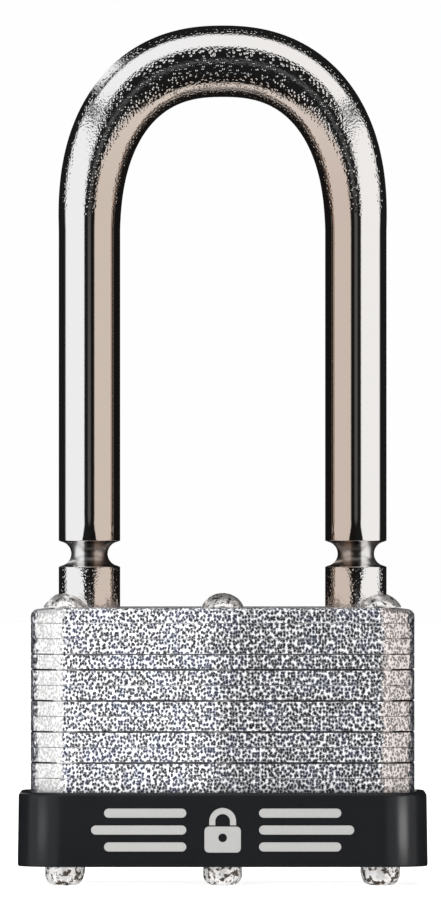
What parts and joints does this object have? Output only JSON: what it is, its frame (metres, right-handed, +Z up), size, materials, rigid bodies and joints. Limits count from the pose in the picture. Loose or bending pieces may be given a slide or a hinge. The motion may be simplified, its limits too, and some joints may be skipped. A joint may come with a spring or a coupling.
{
  "type": "laminated padlock",
  "caption": "Laminated steel padlock with a long chromed shackle that has snap-off grooves, riveted plates, a turning keyway disc and a black bumper sleeve.",
  "frame": {"origin": "on the ground plane under the middle of the body: the lock stands on the flat ends of its six rivets", "axes": "+Z up, out of the body along the shackle's legs; front, with the plates' wide faces, towards -Y; the heel leg of the shackle at -X"},
  "size_m": [0.0476, 0.0246, 0.0997],
  "materials": {
    "plate_steel": "galvanised, fine mottled grain, satin",
    "rivet_steel": "headed over and plated with the plates, lightly hammered",
    "shackle_chrome": "bright nickel chrome plating",
    "spring_steel": "plain oiled spring steel",
    "disc_brass": "plain turned brass",
    "bumper_plastic": "black moulded thermoplastic, satin",
    "mark_print": "silver-grey printed mark"
  },
  "bodies": {
    "case": {"bottom_plate": "plate_steel", "disc_pocket_plate": "plate_steel", "ward_plate_1": "plate_steel", "spacer_plate_1": "plate_steel", "ward_plate_2": "plate_steel", "spacer_plate_2": "plate_steel", "spacer_plate_3": "plate_steel", "ward_plate_3": "plate_steel", "spacer_plate_4": "plate_steel", "ward_plate_4": "plate_steel", "spacer_plate_5": "plate_steel", "spring_floor_plate": "plate_steel", "spring_plate_lower": "plate_steel", "spring_plate_upper": "plate_steel", "spring_cover_plate": "plate_steel", "top_plate": "plate_steel", "rivet_front_left": "rivet_steel", "rivet_front_middle": "rivet_steel", "rivet_front_right": "rivet_steel", "rivet_rear_left": "rivet_steel", "rivet_rear_middle": "rivet_steel", "rivet_rear_right": "rivet_steel", "bumper": "bumper_plastic", "locking_spring": "spring_steel", "ejector_spring": "spring_steel"},
    "shackle": {"shackle": "shackle_chrome"},
    "keyway_disc": {"keyway_disc": "disc_brass"}
  },
  "joints": [
    {"name": "shackle_lift", "type": "slide", "parent": "case", "child": "shackle", "axis": [0, 0, 1], "range_m": [0, 0.012], "deforming": ["ejector_spring", "locking_spring"]},
    {"name": "keyway_turn", "type": "hinge", "parent": "case", "child": "keyway_disc", "pos_m": [0, 0, 0.0052], "axis": [0, 0, 1], "range_deg": [-90, 90]}
  ]
}
